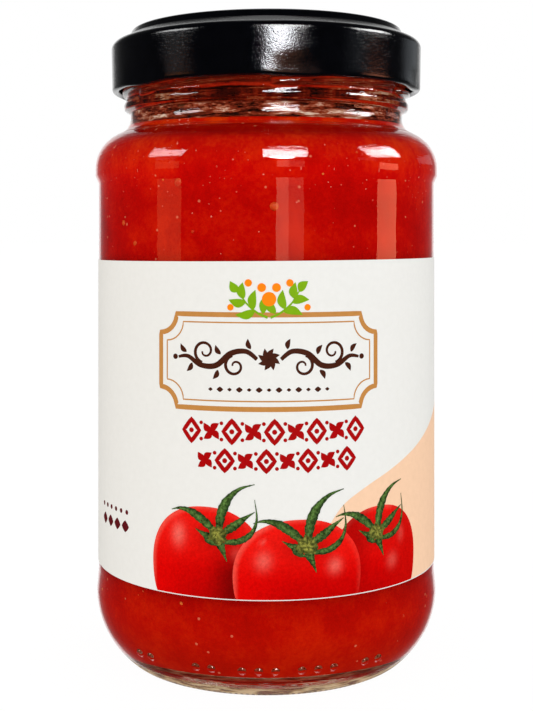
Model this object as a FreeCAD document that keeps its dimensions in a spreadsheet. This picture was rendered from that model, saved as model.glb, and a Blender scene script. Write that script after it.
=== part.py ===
import FreeCAD, Part
import math
import os
import Sketcher

# A glass jar of cherry tomatoes in passata, closed by a lug cap. Millimetres, +Z up, the front faces -Y.
# The origin is the centre of the ring that the jar stands on.

SIZES = [
    # glass, outside
    ("panel_radius", 41.45, "straight wall behind the label"),
    ("panel_bottom", 18.8, "lower end of the straight wall"),
    ("panel_top", 115.0, "upper end of the straight wall"),
    ("heel_radius", 41.85, "low bead above the heel"),
    ("heel_turn", 20.0, "radius of the heel's arc"),
    ("heel_top", 16.0, "height where the heel's arc ends"),
    ("heel_bead_top", 17.9, "height where the low bead ends"),
    ("foot_turn", 3.0, "radius of the corner at the foot"),
    ("foot_inner", 30.8, "inner radius of the ring that it stands on"),
    ("punt_radius", 29.8, "radius of the hollow under the base"),
    ("punt_edge", 0.7, "height of the hollow's edge"),
    ("punt_rise", 4.2, "height of the hollow's middle"),
    ("bead_radius", 42.27, "high bead below the shoulder"),
    ("bead_bottom", 116.8, "lower end of the high bead"),
    ("bead_top", 118.5, "height where the shoulder's arc starts"),
    ("shoulder_turn", 9.3, "radius of the shoulder's arc"),
    ("neck_turn", 4.0, "radius of the hollow arc from shoulder to neck"),
    ("neck_radius", 33.68, "outside of the neck"),
    ("neck_top", 131.9, "height where the neck ends"),
    ("collar_foot", 33.95, "radius at the lower edge of the transfer collar"),
    ("collar_bottom", 132.45, "lower edge of the transfer collar"),
    ("collar_turn", 1.75, "radius of the transfer collar's round edge"),
    ("collar_top", 135.55, "upper edge of the transfer collar"),
    ("finish_radius", 34.55, "wall behind the threads"),
    ("rim_height", 150.9, "top of the glass"),
    ("rim_turn", 1.3, "radius of the rim's round edges"),
    # glass, inside
    ("inner_radius", 38.85, "inside of the straight wall"),
    ("inner_turn", 14.0, "radius of the inner heel"),
    ("inner_turn_height", 19.0, "height of the inner heel's centre"),
    ("floor_radius", 22.0, "radius where the inner heel meets the floor"),
    ("floor_rise", 7.4, "height of the floor's middle"),
    ("mouth_radius", 31.1, "inside of the rim"),
    # threads and heel pips
    ("thread_count", 6, "threads, and cap lugs"),
    ("thread_span", 56.0, "degrees that one thread runs"),
    ("thread_rise", 1.7, "height that one thread climbs"),
    ("thread_start", 136.35, "height of a thread's middle at its low end"),
    ("thread_crest", 35.7, "outer radius of a thread"),
    ("thread_half", 0.8, "half of a thread's height at its root"),
    ("pip_radius", 0.62, "radius of a moulded pip"),
    ("pip_height", 7.7, "height of the row of pips"),
    ("pip_sink", 0.1, "how far a pip's centre lies inside the heel's surface"),
    # contents
    ("fill_height", 128.0, "level of the contents"),
    # label
    ("label_thickness", 0.12, "paper"),
    ("label_bottom", 23.3, "lower edge of the label"),
    ("label_top", 96.7, "upper edge of the label"),
    ("label_seam", 7.0, "degrees left bare at the back"),
    # cap
    ("cap_foot_radius", 38.15, "skirt just above the curl"),
    ("cap_radius", 38.38, "skirt at its top"),
    ("cap_shoulder", 148.0, "height where the skirt ends"),
    ("cap_corner", 1.9, "radius of the skirt's upper corner"),
    ("cap_turn", 0.9, "radius of the curl"),
    ("cap_bottom", 137.6, "lowest point of the curl"),
    ("cap_sheet", 0.4, "thickness of the sheet"),
    ("cap_groove_radius", 35.5, "foot of the raised top ring"),
    ("cap_groove_height", 150.1, "height of the groove round the top ring"),
    ("cap_ring_radius", 33.8, "outside of the raised top ring"),
    ("cap_ring_turn", 1.5, "radius of the ring's outer corner"),
    ("cap_height", 153.0, "top of the cap"),
    ("cap_ring_inner", 31.6, "inner edge of the ring's flat top"),
    ("cap_well_radius", 30.7, "radius of the sunk panel"),
    ("cap_well_height", 150.5, "height of the sunk panel"),
    ("button_radius", 14.0, "radius of the button in the middle"),
    ("button_step", 0.45, "height of the button's edge"),
    ("button_rise", 0.9, "height of the button's middle above the panel"),
    ("lug_radius", 35.9, "inner radius of a lug"),
    ("lug_span", 17.0, "degrees that one lug covers"),
    ("lug_bottom", 137.3, "lowest point of a lug"),
    ("lug_height", 2.0, "height of a lug"),
]
SIZE = {alias: value for alias, value, note in SIZES}

# The front is at -90 degrees round the Z axis.
FRONT = -90.0
THREAD_ANGLE = FRONT + 3.0
LUG_ANGLE = FRONT + 11.0
PIP_STEP = 5.25
PIP_GROUPS = ((-45.5, 2), (-22.7, 2), (-7.6, 3), (11.2, 3), (33.2, 2))


def make_sheet(doc):
    """Put the driving dimensions in a spreadsheet, one alias a row."""
    sheet = doc.addObject("Spreadsheet::Sheet", "dims")
    for row, (alias, value, note) in enumerate(SIZES, start=1):
        sheet.set(f"A{row}", alias)
        sheet.set(f"B{row}", str(value))
        sheet.setAlias(f"B{row}", alias)
        sheet.set(f"C{row}", note)
    doc.recompute()
    return sheet


def origin_feature(body, role):
    """Find one of a body's own origin planes or axes."""
    for feature in body.Origin.OriginFeatures:
        if feature.Role == role:
            return feature
    raise ValueError(role)


def make_body(doc, label):
    body = doc.addObject("PartDesign::Body", label)
    body.Label = label
    return body


def arc_between(first, last, radius, side):
    """An arc under half a turn: side 1 has its centre left of the way from first to last, -1 right."""
    chord = last - first
    middle = (first + last) * 0.5
    offset = math.sqrt(radius**2 - (chord.Length / 2) ** 2)
    normal = FreeCAD.Vector(-chord.y, chord.x, 0) / chord.Length
    centre = middle + normal * (side * offset)
    begin, end = (first, last) if side > 0 else (last, first)
    start_angle = math.atan2(begin.y - centre.y, begin.x - centre.x)
    end_angle = math.atan2(end.y - centre.y, end.x - centre.x)
    circle = Part.Circle(centre, FreeCAD.Vector(0, 0, 1), radius)
    return Part.ArcOfCircle(circle, start_angle, end_angle)


def half_section(body, name, corners):
    """Draw a closed half-section, radius along X and height along Z, bound to the sheet.

    A corner is (radius, height), both expressions, or has the radius of the arc that leads to the next
    corner and its side as well. A corner on the axis has the radius "0".
    """
    sketch = body.newObject("Sketcher::SketchObject", name)
    sketch.AttachmentSupport = (origin_feature(body, "XZ_Plane"), [""])
    sketch.MapMode = "FlatFace"
    points = []
    for corner in corners:
        across = float(sketch.evalExpression(corner[0]))
        height = float(sketch.evalExpression(corner[1]))
        points.append(FreeCAD.Vector(across, height, 0))

    def bind(constraint, expression):
        index = sketch.addConstraint(constraint)
        sketch.setExpression(f"Constraints[{index}]", expression)

    ends = []
    for number, corner in enumerate(corners):
        first = points[number]
        last = points[(number + 1) % len(points)]
        if len(corner) == 4:
            radius = float(sketch.evalExpression(corner[2]))
            edge = sketch.addGeometry(arc_between(first, last, radius, corner[3]), False)
            ends.append((edge, 1, 2) if corner[3] > 0 else (edge, 2, 1))
        else:
            edge = sketch.addGeometry(Part.LineSegment(first, last), False)
            ends.append((edge, 1, 2))
    for number, corner in enumerate(corners):
        edge, start, end = ends[number]
        before, before_start, before_end = ends[number - 1]
        sketch.addConstraint(Sketcher.Constraint("Coincident", before, before_end, edge, start))
        if corner[0] == "0":
            sketch.addConstraint(Sketcher.Constraint("PointOnObject", edge, start, -2))
        else:
            bind(Sketcher.Constraint("DistanceX", -1, 1, edge, start, points[number].x), corner[0])
        bind(Sketcher.Constraint("DistanceY", -1, 1, edge, start, points[number].y), corner[1])
        if len(corner) == 4:
            radius = float(sketch.evalExpression(corner[2]))
            bind(Sketcher.Constraint("Radius", edge, radius), corner[2])
    return sketch


def turn(body, name, sketch, angle=None):
    """Revolve a half-section about Z, all the way round or by an angle to both sides of it."""
    feature = body.newObject("PartDesign::Revolution", name)
    feature.Profile = sketch
    feature.ReferenceAxis = (sketch, ["V_Axis"])
    if angle is None:
        feature.Angle = 360
    else:
        feature.Midplane = True
        feature.setExpression("Angle", angle)
    sketch.Visibility = False
    return feature


def repeat_round(body, name, feature):
    """Repeat a feature round the Z axis, once for each thread."""
    pattern = body.newObject("PartDesign::PolarPattern", name)
    pattern.Originals = [feature]
    pattern.Axis = (origin_feature(body, "Z_Axis"), [""])
    pattern.Angle = 360
    pattern.setExpression("Occurrences", "dims.thread_count")
    body.Tip = pattern
    return pattern


# Places that several half-sections share, as expressions.
HEEL_CENTRE = "(dims.heel_radius - dims.heel_turn)"
FOOT_REACH = "(dims.heel_turn - dims.foot_turn)"
FOOT_CENTRE = f"({HEEL_CENTRE} + sqrt({FOOT_REACH}^2 - (dims.heel_top - dims.foot_turn)^2))"
FOOT_SHARE = f"(dims.heel_turn / {FOOT_REACH})"
SHOULDER_CENTRE = "(dims.bead_radius - dims.shoulder_turn)"
NECK_CENTRE = "(dims.neck_radius + dims.neck_turn)"
TURNS = "(dims.shoulder_turn + dims.neck_turn)"
TURNS_RISE = f"sqrt({TURNS}^2 - ({NECK_CENTRE} - {SHOULDER_CENTRE})^2)"
NECK_HEIGHT = f"(dims.bead_top + {TURNS_RISE})"
INNER_SHOULDER = f"(dims.inner_radius - {SHOULDER_CENTRE})"
INNER_NECK = f"({TURNS} - {INNER_SHOULDER})"
INNER_HEEL_CENTRE = "(dims.inner_radius - dims.inner_turn)"


def between_turns(share):
    """The point on the line from the shoulder's centre to the neck's, at a share of its length."""
    across = f"{SHOULDER_CENTRE} + {share} * ({NECK_CENTRE} - {SHOULDER_CENTRE})"
    height = f"dims.bead_top + {share} * {TURNS_RISE}"
    return across, height


def dome_radius(across, rise):
    """Radius of a shallow dome from its half-width and its rise."""
    return f"(({across})^2 + ({rise})^2) / (2 * ({rise}))"


def inner_floor():
    """Floor and inner heel of the jar, from the middle outwards to the straight wall."""
    edge = "(dims.inner_turn_height - sqrt(dims.inner_turn^2"
    edge += f" - ({INNER_HEEL_CENTRE} - dims.floor_radius)^2))"
    dome = dome_radius("dims.floor_radius", f"dims.floor_rise - {edge}")
    return [
        ("0", "dims.floor_rise", dome, -1),
        ("dims.floor_radius", edge, "dims.inner_turn", 1),
    ]


def backwards(corners, last):
    """The same run of corners walked the other way, ending at its first corner; last is the corner after."""
    reversed_run = []
    following = [*corners[1:], last]
    for corner, after in zip(reversed(corners), reversed(following)):
        turned = (corner[2], -corner[3]) if len(corner) == 4 else ()
        reversed_run.append((after[0], after[1], *turned))
    return reversed_run


def make_glass(doc):
    """The jar: one revolved wall with its threads and moulded pips."""
    body = make_body(doc, "jar_glass")
    outer_share = f"(dims.shoulder_turn / {TURNS})"
    inner_share = f"({INNER_SHOULDER} / {TURNS})"
    foot_end = f"{HEEL_CENTRE} + {FOOT_SHARE} * ({FOOT_CENTRE} - {HEEL_CENTRE})"
    foot_end_height = f"dims.heel_top - {FOOT_SHARE} * (dims.heel_top - dims.foot_turn)"
    punt_dome = dome_radius("dims.punt_radius", "dims.punt_rise - dims.punt_edge")
    outside = [
        ("0", "dims.punt_rise", punt_dome, -1),
        ("dims.punt_radius", "dims.punt_edge"),
        ("dims.foot_inner", "0"),
        (FOOT_CENTRE, "0", "dims.foot_turn", 1),
        (foot_end, foot_end_height, "dims.heel_turn", 1),
        ("dims.heel_radius", "dims.heel_top"),
        ("dims.heel_radius", "dims.heel_bead_top"),
        ("dims.panel_radius", "dims.panel_bottom"),
        ("dims.panel_radius", "dims.panel_top"),
        ("dims.bead_radius", "dims.bead_bottom"),
        ("dims.bead_radius", "dims.bead_top", "dims.shoulder_turn", 1),
        (*between_turns(outer_share), "dims.neck_turn", -1),
        ("dims.neck_radius", NECK_HEIGHT),
        ("dims.neck_radius", "dims.neck_top"),
        ("dims.collar_foot", "dims.collar_bottom", "dims.collar_turn", 1),
        ("dims.finish_radius", "dims.collar_top"),
        ("dims.finish_radius", "dims.rim_height - dims.rim_turn", "dims.rim_turn", 1),
        ("dims.finish_radius - dims.rim_turn", "dims.rim_height"),
        ("dims.mouth_radius + dims.rim_turn", "dims.rim_height", "dims.rim_turn", 1),
    ]
    inside = [
        ("dims.mouth_radius", "dims.rim_height - dims.rim_turn"),
        (f"{NECK_CENTRE} - {INNER_NECK}", NECK_HEIGHT, INNER_NECK, 1),
        (*between_turns(inner_share), INNER_SHOULDER, -1),
        ("dims.inner_radius", "dims.bead_top"),
    ]
    straight_foot = ("dims.inner_radius", "dims.inner_turn_height")
    section = half_section(body, "glass_section", outside + inside + backwards(inner_floor(), straight_foot)
                           + [("0", "dims.floor_rise")])
    turn(body, "glass_wall", section)
    add_threads(body)
    add_pips(body)
    return body


def add_threads(body):
    """Six low threads that climb to the right, one shape swept along a helix and repeated."""
    root = "dims.finish_radius - 0.5"
    half_crest = "dims.thread_half * 0.45"
    section = half_section(body, "thread_section", [
        (root, "dims.thread_start - dims.thread_half"),
        ("dims.thread_crest", f"dims.thread_start - {half_crest}"),
        ("dims.thread_crest", f"dims.thread_start + {half_crest}"),
        (root, "dims.thread_start + dims.thread_half"),
    ])
    section.AttachmentOffset = FreeCAD.Placement(
        FreeCAD.Vector(), FreeCAD.Rotation(FreeCAD.Vector(0, 1, 0), THREAD_ANGLE))
    thread = body.newObject("PartDesign::AdditiveHelix", "thread")
    thread.Profile = section
    thread.ReferenceAxis = (section, ["V_Axis"])
    thread.Mode = "pitch-height-angle"
    thread.setExpression("Pitch", "dims.thread_rise * 360 / dims.thread_span")
    thread.setExpression("Height", "dims.thread_rise")
    section.Visibility = False
    repeat_round(body, "threads", thread)


def pip_place(angle):
    """A pip's placement on the heel's arc at an angle round the jar, its axis square to the glass."""
    drop = SIZE["heel_top"] - SIZE["pip_height"]
    reach = math.sqrt(SIZE["heel_turn"] ** 2 - drop**2)
    across = SIZE["heel_radius"] - SIZE["heel_turn"] + reach
    turned = math.radians(angle)
    outward = FreeCAD.Vector(math.cos(turned), math.sin(turned), 0)
    square = (outward * reach - FreeCAD.Vector(0, 0, drop)) / SIZE["heel_turn"]
    spot = outward * across + FreeCAD.Vector(0, 0, SIZE["pip_height"]) - square * SIZE["pip_sink"]
    return FreeCAD.Placement(spot, FreeCAD.Rotation(FreeCAD.Vector(0, 0, 1), square))


def add_pips(body):
    """A row of round pips moulded on the heel, in groups of two and three."""
    for group, (first, count) in enumerate(PIP_GROUPS):
        for number in range(count):
            pip = body.newObject("PartDesign::AdditiveSphere", f"pip_{group}_{number}")
            pip.AttachmentSupport = (origin_feature(body, "XY_Plane"), [""])
            pip.MapMode = "FlatFace"
            pip.AttachmentOffset = pip_place(FRONT + first + number * PIP_STEP)
            pip.setExpression("Radius", "dims.pip_radius")


def make_contents(doc):
    """The passata and its tomatoes: everything inside the glass up to the fill level."""
    body = make_body(doc, "tomato_passata")
    inner_share = f"({INNER_SHOULDER} / {TURNS})"
    drop = f"({NECK_HEIGHT} - dims.fill_height)"
    top_radius = f"{NECK_CENTRE} - sqrt({INNER_NECK}^2 - {drop}^2)"
    section = half_section(body, "contents_section", [
        *inner_floor(),
        ("dims.inner_radius", "dims.inner_turn_height"),
        ("dims.inner_radius", "dims.bead_top", INNER_SHOULDER, 1),
        (*between_turns(inner_share), INNER_NECK, -1),
        (top_radius, "dims.fill_height"),
        ("0", "dims.fill_height"),
    ])
    turn(body, "contents_fill", section)
    return body


def make_label(doc):
    """The paper label: a thin shell round the straight wall, open at the seam at the back."""
    body = make_body(doc, "label")
    outer = "dims.panel_radius + dims.label_thickness"
    section = half_section(body, "label_section", [
        ("dims.panel_radius", "dims.label_bottom"),
        (outer, "dims.label_bottom"),
        (outer, "dims.label_top"),
        ("dims.panel_radius", "dims.label_top"),
    ])
    turn(body, "label_paper", section, "360 - dims.label_seam")
    body.Placement = FreeCAD.Placement(
        FreeCAD.Vector(), FreeCAD.Rotation(FreeCAD.Vector(0, 0, 1), FRONT))
    return body


def make_cap(doc):
    """The lug cap: rolled skirt, raised top ring, sunk panel with its button, and six lugs."""
    body = make_body(doc, "lid")
    curl_centre = "(dims.cap_foot_radius - dims.cap_turn)"
    curl_height = "(dims.cap_bottom + dims.cap_turn)"
    sheet = "dims.cap_sheet"
    button_edge = "(dims.cap_well_height + dims.button_step)"
    button_dome = dome_radius("dims.button_radius - 1", "dims.button_rise - dims.button_step")
    section = half_section(body, "cap_section", [
        (curl_centre, "dims.cap_bottom", "dims.cap_turn", 1),
        ("dims.cap_foot_radius", curl_height),
        ("dims.cap_radius", "dims.cap_shoulder", "dims.cap_corner", 1),
        ("dims.cap_radius - dims.cap_corner", "dims.cap_shoulder + dims.cap_corner"),
        ("dims.cap_groove_radius", "dims.cap_groove_height"),
        ("dims.cap_ring_radius", "dims.cap_height - dims.cap_ring_turn", "dims.cap_ring_turn", 1),
        ("dims.cap_ring_radius - dims.cap_ring_turn", "dims.cap_height"),
        ("dims.cap_ring_inner", "dims.cap_height"),
        ("dims.cap_well_radius", "dims.cap_well_height"),
        ("dims.button_radius", "dims.cap_well_height"),
        ("dims.button_radius - 1", button_edge, button_dome, 1),
        ("0", "dims.cap_well_height + dims.button_rise"),
        ("0", f"dims.cap_well_height + dims.button_rise - {sheet}", button_dome, -1),
        ("dims.button_radius - 1", f"{button_edge} - {sheet}"),
        (f"dims.button_radius + {sheet}", f"dims.cap_well_height - {sheet}"),
        ("dims.cap_well_radius + 0.2", f"dims.cap_well_height - {sheet}"),
        (f"dims.cap_well_radius + 0.2 + {sheet}", "dims.rim_height"),
        ("dims.finish_radius - dims.rim_turn + 0.1", "dims.rim_height"),
        ("dims.finish_radius - 0.2", "dims.rim_height - 0.2"),
        ("dims.finish_radius + 0.5", f"dims.cap_groove_height + 0.1 - {sheet}"),
        ("dims.cap_radius - dims.cap_corner", f"dims.cap_shoulder + dims.cap_corner - {sheet}",
         f"dims.cap_corner - {sheet}", -1),
        (f"dims.cap_radius - {sheet}", "dims.cap_shoulder"),
        (f"dims.cap_foot_radius - {sheet}", f"{curl_height} + dims.cap_turn"),
        (curl_centre, f"{curl_height} + dims.cap_turn", "dims.cap_turn", 1),
        (f"{curl_centre} - dims.cap_turn", curl_height, "dims.cap_turn", 1),
    ])
    turn(body, "cap_shell", section)
    lug_section = half_section(body, "lug_section", [
        ("dims.lug_radius", "dims.lug_bottom + 0.4"),
        ("dims.lug_radius + 0.4", "dims.lug_bottom"),
        (curl_centre, "dims.lug_bottom"),
        (f"{curl_centre} + 0.3", f"{curl_height}"),
        (curl_centre, "dims.lug_bottom + dims.lug_height"),
        ("dims.lug_radius", "dims.lug_bottom + dims.lug_height - 0.4"),
    ])
    lug_section.AttachmentOffset = FreeCAD.Placement(
        FreeCAD.Vector(), FreeCAD.Rotation(FreeCAD.Vector(0, 1, 0), LUG_ANGLE))
    lug = turn(body, "lug", lug_section, "dims.lug_span")
    repeat_round(body, "lugs", lug)
    return body


def check(doc, bodies):
    """Stop if any object failed or any piece isn't one closed valid solid."""
    for thing in doc.Objects:
        if "Invalid" in thing.State or "Error" in thing.State:
            raise RuntimeError(f"{thing.Label} failed: {thing.State}")
    for body in bodies:
        shape = body.Shape
        if shape.isNull() or not shape.isValid() or len(shape.Solids) != 1:
            raise RuntimeError(f"{body.Label} is not one valid solid")


def main():
    os.makedirs("parts", exist_ok=True)
    doc = FreeCAD.newDocument("jar")
    make_sheet(doc)
    bodies = [make_glass(doc), make_contents(doc), make_label(doc), make_cap(doc)]
    doc.recompute()
    check(doc, bodies)
    for body in bodies:
        body.Shape.exportStep(f"parts/{body.Label}.step")
        print(body.Label, round(body.Shape.Volume / 1000, 2), "ml")


main()
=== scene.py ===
import bmesh
import bpy
import math
import random
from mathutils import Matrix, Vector, noise


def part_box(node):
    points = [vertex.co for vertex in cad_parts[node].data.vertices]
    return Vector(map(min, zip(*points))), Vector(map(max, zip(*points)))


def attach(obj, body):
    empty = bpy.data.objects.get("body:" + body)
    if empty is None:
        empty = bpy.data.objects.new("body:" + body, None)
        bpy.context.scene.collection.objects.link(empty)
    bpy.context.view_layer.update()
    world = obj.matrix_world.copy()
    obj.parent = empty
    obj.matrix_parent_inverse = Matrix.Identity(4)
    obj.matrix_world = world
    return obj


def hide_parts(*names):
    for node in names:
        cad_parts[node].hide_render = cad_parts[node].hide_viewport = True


# A jar of cherry tomatoes in passata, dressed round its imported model. Lengths in the shapes below are
# millimetres, turned into metres by MM; those in materials are metres. The front of the jar faces -Y, and
# angles round it start there, in degrees.

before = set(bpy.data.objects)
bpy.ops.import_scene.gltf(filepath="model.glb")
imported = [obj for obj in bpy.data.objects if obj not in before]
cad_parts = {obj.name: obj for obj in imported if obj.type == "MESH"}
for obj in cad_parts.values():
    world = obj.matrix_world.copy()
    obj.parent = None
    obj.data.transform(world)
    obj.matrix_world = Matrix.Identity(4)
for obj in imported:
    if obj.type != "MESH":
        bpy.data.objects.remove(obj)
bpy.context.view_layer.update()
MM = 0.001


def size_in_mm(node):
    low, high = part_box(node)
    return low / MM, high / MM


LABEL_LOW, LABEL_HIGH = size_in_mm("label")
FILL_HIGH = size_in_mm("tomato_passata")[1]

LABEL_RADIUS = LABEL_HIGH.x
PAPER = 0.12
PANEL_RADIUS = LABEL_RADIUS - PAPER
RIM_HEIGHT = size_in_mm("jar_glass")[1].z
LID_HEIGHT = size_in_mm("lid")[1].z
FILL_HEIGHT = FILL_HIGH.z
INNER_RADIUS = FILL_HIGH.x


# ---------------------------------------------------------------- shapes

LONGEST_GAP = 3.0


def rounded(corners, step):
    """Points along a run of straight lines whose corners are rounded.

    A corner is (radius, height, rounding), and a fourth number divides the line after it more closely."""
    points = []
    for number, corner in enumerate(corners):
        here = Vector(corner[:2])
        if 0 < number < len(corners) - 1 and corner[2] > 0:
            before = (Vector(corners[number - 1][:2]) - here).normalized()
            after = (Vector(corners[number + 1][:2]) - here).normalized()
            half = before.angle(after) / 2
            reach = corner[2] / math.tan(half)
            centre = here + (before + after).normalized() * (corner[2] / math.sin(half))
            first = here + before * reach - centre
            sweep = first.angle_signed(here + after * reach - centre)
            pieces = max(2, math.ceil(abs(sweep) * corner[2] / step))
            for piece in range(pieces + 1):
                angle = -sweep * piece / pieces
                cos, sin = math.cos(angle), math.sin(angle)
                turned = Vector((first.x * cos - first.y * sin, first.x * sin + first.y * cos))
                points.append((centre + turned, corner))
        else:
            points.append((here, corner))
    line = []
    for (here, corner), (after, _) in zip(points, points[1:]):
        line.append(tuple(here))
        length = (after - here).length
        gap = corner[3] if len(corner) > 3 else LONGEST_GAP
        pieces = math.ceil(length / gap)
        line += [tuple(here.lerp(after, piece / pieces)) for piece in range(1, pieces)]
    line.append(tuple(points[-1][0]))
    return line


def new_piece(name, vertices, faces, material, rounded_look=False):
    """A mesh in the scene with its faces turned outwards."""
    mesh = bpy.data.meshes.new(name)
    mesh.from_pydata(vertices, [], faces)
    mesh.polygons.foreach_set("use_smooth", [rounded_look] * len(mesh.polygons))
    work = bmesh.new()
    work.from_mesh(mesh)
    bmesh.ops.recalc_face_normals(work, faces=work.faces)
    work.to_mesh(mesh)
    work.free()
    mesh.materials.append(material)
    piece = bpy.data.objects.new(name, mesh)
    bpy.context.scene.collection.objects.link(piece)
    return piece


def turned_piece(name, outline, angles, material, shift=None, closed=False):
    """Turn an outline of (radius, height) round the jar's axis; an end on the axis becomes one point."""
    vertices, rows = [], []
    for radius, height in outline:
        if radius < 1e-6:
            rows.append([len(vertices)] * len(angles))
            vertices.append((0, 0, height * MM))
            continue
        row = []
        for angle in angles:
            out, up = shift(angle, radius, height) if shift else (0, 0)
            across = (radius + out) * MM
            turned = math.radians(angle)
            row.append(len(vertices))
            vertices.append((across * math.sin(turned), -across * math.cos(turned), (height + up) * MM))
        rows.append(row)
    faces = []
    pairs = list(zip(rows, rows[1:])) + ([(rows[-1], rows[0])] if closed else [])
    for low, high in pairs:
        for number in range(len(angles)):
            after = (number + 1) % len(angles)
            face = [low[number], low[after], high[after], high[number]]
            face = list(dict.fromkeys(face))
            if len(face) > 2:
                faces.append(face)
    return new_piece(name, vertices, faces, material, rounded_look=True)


def even_angles(count):
    return [360 * number / count - 180 for number in range(count)]


def smooth(low, high, value):
    share = min(1, max(0, (value - low) / (high - low)))
    return share * share * (3 - 2 * share)


# ---------------------------------------------------------------- materials

def socket(tree, target, value):
    if isinstance(value, bpy.types.NodeSocket):
        tree.links.new(value, target)
    else:
        target.default_value = value


def add(tree, kind, settings=None, **inputs):
    """Add a node; inputs name its sockets, with _ for a space, and hold a value or another node's output."""
    node = tree.nodes.new("ShaderNode" + kind)
    for key, value in (settings or {}).items():
        setattr(node, key, value)
    for key, value in inputs.items():
        place = int(key[1:]) if key[0] == "i" and key[1:].isdigit() else key.replace("_", " ")
        socket(tree, node.inputs[place], value)
    return node


def maths(tree, operation, first, second=0.0, third=0.0, clamp=False):
    node = add(tree, "Math", {"operation": operation, "use_clamp": clamp}, i0=first, i1=second, i2=third)
    return node.outputs[0]


def mix_colour(tree, share, first, second, blend="MIX"):
    node = add(tree, "Mix", {"data_type": "RGBA", "blend_type": blend}, i0=share, i6=first, i7=second)
    return node.outputs[2]


def new_material(name):
    material = bpy.data.materials.new(name)
    material.use_nodes = True
    tree = material.node_tree
    tree.nodes.clear()
    return material, tree


def finish_material(material, shader):
    add(material.node_tree, "OutputMaterial", Surface=shader.outputs[0])
    return material


def place_on(tree):
    """Where a point of the piece is, in metres."""
    return add(tree, "TexCoord").outputs["Object"]


def noise_at(tree, place, scale, detail, roughness=0.5):
    return add(tree, "TexNoise", Vector=place, Scale=scale, Detail=detail, Roughness=roughness).outputs[0]


def drawn_out(tree, place, times):
    """The place with heights enlarged, so that a pattern on it is drawn out sideways."""
    return add(tree, "Mapping", Vector=place, Scale=(1, 1, times)).outputs[0]


def product(tree, first, second):
    return maths(tree, "MULTIPLY", first, second)


def fade_in(tree, value, start, reach):
    """0 up to start and 1 from start + reach on."""
    return maths(tree, "DIVIDE", maths(tree, "SUBTRACT", value, start), reach, clamp=True)


def fade_out(tree, value, reach):
    """1 at 0 and 0 from reach on."""
    return maths(tree, "SUBTRACT", 1.0, maths(tree, "DIVIDE", value, reach), clamp=True)


def relief(tree, height, strength, distance):
    return add(tree, "Bump", Strength=strength, Distance=distance, Height=height).outputs[0]


def surface(tree, colour, roughness, ior, **inputs):
    return add(tree, "BsdfPrincipled", Base_Color=colour, Roughness=roughness, IOR=ior, **inputs)


def ramp(tree, value, stops):
    node = add(tree, "ValToRGB", i0=value)
    elements = node.color_ramp.elements
    while len(elements) < len(stops):
        elements.new(0.5)
    for element, (place, colour) in zip(elements, stops):
        element.position = place
        element.color = (*colour, 1)
    return node.outputs[0]


FOOT_FADE, SHOULDER_START, SHOULDER_FADE = 0.0042, 0.1180, 0.003
KNURLS = 170.0


def glass_material():
    """Clear glass that lets lamps through, with faint waves, and a stippled and frosted beige foot."""
    material, tree = new_material("clear glass")
    place = place_on(tree)
    parts = add(tree, "SeparateXYZ", Vector=place)
    angle = maths(tree, "ARCTAN2", parts.outputs["X"], parts.outputs["Y"])
    teeth = maths(tree, "SINE", product(tree, angle, KNURLS))
    foot = fade_out(tree, parts.outputs["Z"], FOOT_FADE)
    near_foot = maths(tree, "GREATER_THAN", foot, 0.8)
    shoulder = fade_in(tree, parts.outputs["Z"], SHOULDER_START, SHOULDER_FADE)
    lines = noise_at(tree, drawn_out(tree, place, 7), 240.0, 2.0)
    knurl = product(tree, product(tree, teeth, near_foot), 0.00010)
    folds = product(tree, product(tree, lines, foot), 0.0004)
    ripples = product(tree, product(tree, lines, shoulder), 0.00008)
    uneven = maths(tree, "ADD", maths(tree, "ADD", knurl, folds), ripples)
    height = maths(tree, "MULTIPLY_ADD", noise_at(tree, place, 160.0, 2.0), 0.00003, uneven)
    tint = ramp(tree, foot, [(0.0, (0.96, 0.935, 0.85)), (0.25, (0.88, 0.82, 0.68)),
                             (0.7, (0.62, 0.51, 0.33))])
    rough = maths(tree, "MULTIPLY_ADD", foot, 0.35, product(tree, shoulder, 0.03))
    glass = surface(tree, tint, rough, 1.5, Transmission_Weight=1.0, Normal=relief(tree, height, 1.0, 1.0))
    grainy = ramp(tree, lines, [(0.38, (0.10, 0.060, 0.025)), (0.50, (0.42, 0.30, 0.14)),
                                (0.62, (0.66, 0.52, 0.30))])
    dashes = product(tree, maths(tree, "GREATER_THAN", teeth, 0.1), near_foot)
    frost = add(tree, "BsdfDiffuse", Color=mix_colour(tree, dashes, grainy, (0.06, 0.03, 0.015, 1)))
    frosted = product(tree, maths(tree, "MULTIPLY_ADD", foot, 6.0, -1.5, clamp=True), 0.6)
    foot_glass = add(tree, "MixShader", i0=frosted, i1=glass.outputs[0], i2=frost.outputs[0])
    clear = add(tree, "BsdfTransparent", Color=(0.97, 0.985, 0.975, 1))
    path = add(tree, "LightPath")
    lamps = maths(tree, "MAXIMUM", path.outputs["Is Shadow Ray"], path.outputs["Is Diffuse Ray"])
    return finish_material(material, add(tree, "MixShader", i0=lamps, i1=foot_glass.outputs[0],
                                         i2=clear.outputs[0]))


# How the passata's red changes with height, as a share of TONE_SPAN: heel, label, shoulder and neck.
TONE_SPAN, HEEL_FADE = 0.16, 0.026
# The stops from 0.774 to 0.7865 (about 124 to 126 mm) darken the red as painted shade under the neck and
# cap. The last stop at 0.790 (about 126.4 mm up to the top) brightens it to orange as a painted highlight
# line.
TONES_AND_PAINTED_LIGHT = [
    (0.031, (0.10, 0.10, 0.10)), (0.037, (0.74, 0.9, 0.6)), (0.09, (0.90, 0.9, 0.6)),
    (0.15, (0.80, 0.6, 0.5)), (0.60, (0.95, 0.8, 0.8)), (0.685, (0.90, 0.7, 0.7)),
    (0.73, (1.08, 0.9, 1.1)), (0.757, (1.0, 1.8, 1.7)), (0.768, (1.0, 2.2, 2.0)),
    (0.774, (0.54, 0.7, 0.7)), (0.7865, (0.54, 0.8, 0.8)), (0.790, (1.1, 3.6, 1.8)),
]


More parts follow.
